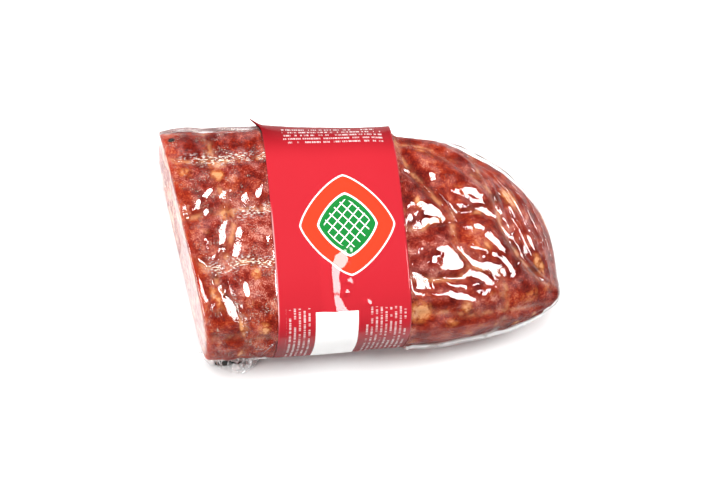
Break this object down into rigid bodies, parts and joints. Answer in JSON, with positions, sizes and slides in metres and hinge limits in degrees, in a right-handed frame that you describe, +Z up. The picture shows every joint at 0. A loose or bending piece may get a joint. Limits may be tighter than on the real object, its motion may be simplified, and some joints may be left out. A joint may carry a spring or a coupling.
{
  "type": "vacuum-packed half pressed salami",
  "caption": "Cut half of a flat pressed spicy salami, sealed in a clear shrink bag with a printed band wrapped round its middle.",
  "frame": {"origin": "under the middle of the bounding box, on the surface that the salami lies on", "axes": "+X along the salami from the flat cut face to the rounded end, +Y to the far long side, +Z up"},
  "size_m": [0.216, 0.1336, 0.058],
  "materials": {
    "meat": "mottled red salami with pale fat and paler net furrows, under clear film",
    "film": "clear glossy shrink film with sharp creases",
    "label": "glossy red printed band with plain panels"
  },
  "bodies": {
    "root": {"sealed_salami": "meat", "label_band": "label"}
  },
  "joints": []
}
